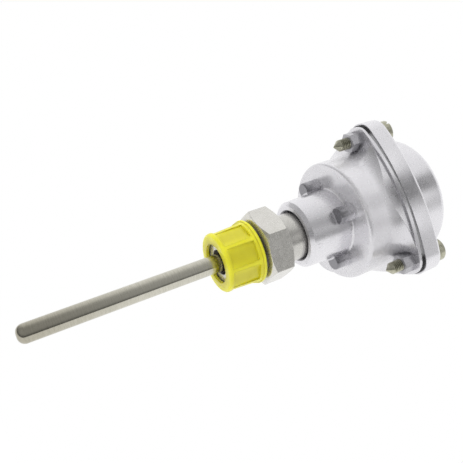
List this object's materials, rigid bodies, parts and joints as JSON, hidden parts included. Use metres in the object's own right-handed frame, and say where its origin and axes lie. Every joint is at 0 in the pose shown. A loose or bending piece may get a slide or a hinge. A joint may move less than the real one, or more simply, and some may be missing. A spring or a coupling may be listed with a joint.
{
  "type": "resistance thermometer probe",
  "caption": "Resistance thermometer: straight closed-end tube, hexagon process fitting under a push-on thread cap, and a cast lobed terminal head with a domed cover.",
  "frame": {"origin": "on the probe axis, at the sealing face under the hexagon", "axes": "+Z along the probe axis towards the head, +X to the middle of one flat side of the head flange, +Y completes a right-handed frame"},
  "size_m": [0.0538, 0.0564, 0.1446],
  "materials": {
    "tube_steel": "drawn stainless tube",
    "fitting_steel": "turned stainless steel",
    "cast_aluminium": "smooth die casting, silver",
    "cap_plastic": "soft moulded yellow plastic",
    "gasket_rubber": "flat black rubber",
    "zinc_steel": "pale zinc plate",
    "element_ceramic": "white ceramic",
    "oxide_powder": "packed powder",
    "resin": "dark cast resin",
    "braze": "silver braze",
    "lead_red": "red insulation",
    "lead_white": "white insulation",
    "block_ceramic": "unglazed white ceramic",
    "terminal_brass": "machined brass"
  },
  "bodies": {
    "probe": {"sheath_tube": "tube_steel", "rtd_element": "element_ceramic", "mineral_fill": "oxide_powder", "process_fitting": "fitting_steel", "braze_fillet": "braze", "potting_seal": "resin", "lead_red_1": "lead_red", "lead_red_2": "lead_red", "lead_white_1": "lead_white", "lead_white_2": "lead_white", "head_casting": "cast_aluminium", "head_gasket": "gasket_rubber", "cover": "cast_aluminium", "cover_screws": "zinc_steel", "cover_screw_washers": "zinc_steel", "terminal_block": "block_ceramic", "block_screws": "zinc_steel", "terminal_1": "terminal_brass", "terminal_2": "terminal_brass", "terminal_3": "terminal_brass", "terminal_4": "terminal_brass", "terminal_screws": "zinc_steel", "earth_washer": "terminal_brass", "earth_screw": "terminal_brass"},
    "cap": {"thread_cap": "cap_plastic"}
  },
  "joints": [
    {"name": "thread_cap_slide", "type": "slide", "parent": "probe", "child": "cap", "axis": [0, 0, -1], "range_m": [0, 0.08]}
  ]
}
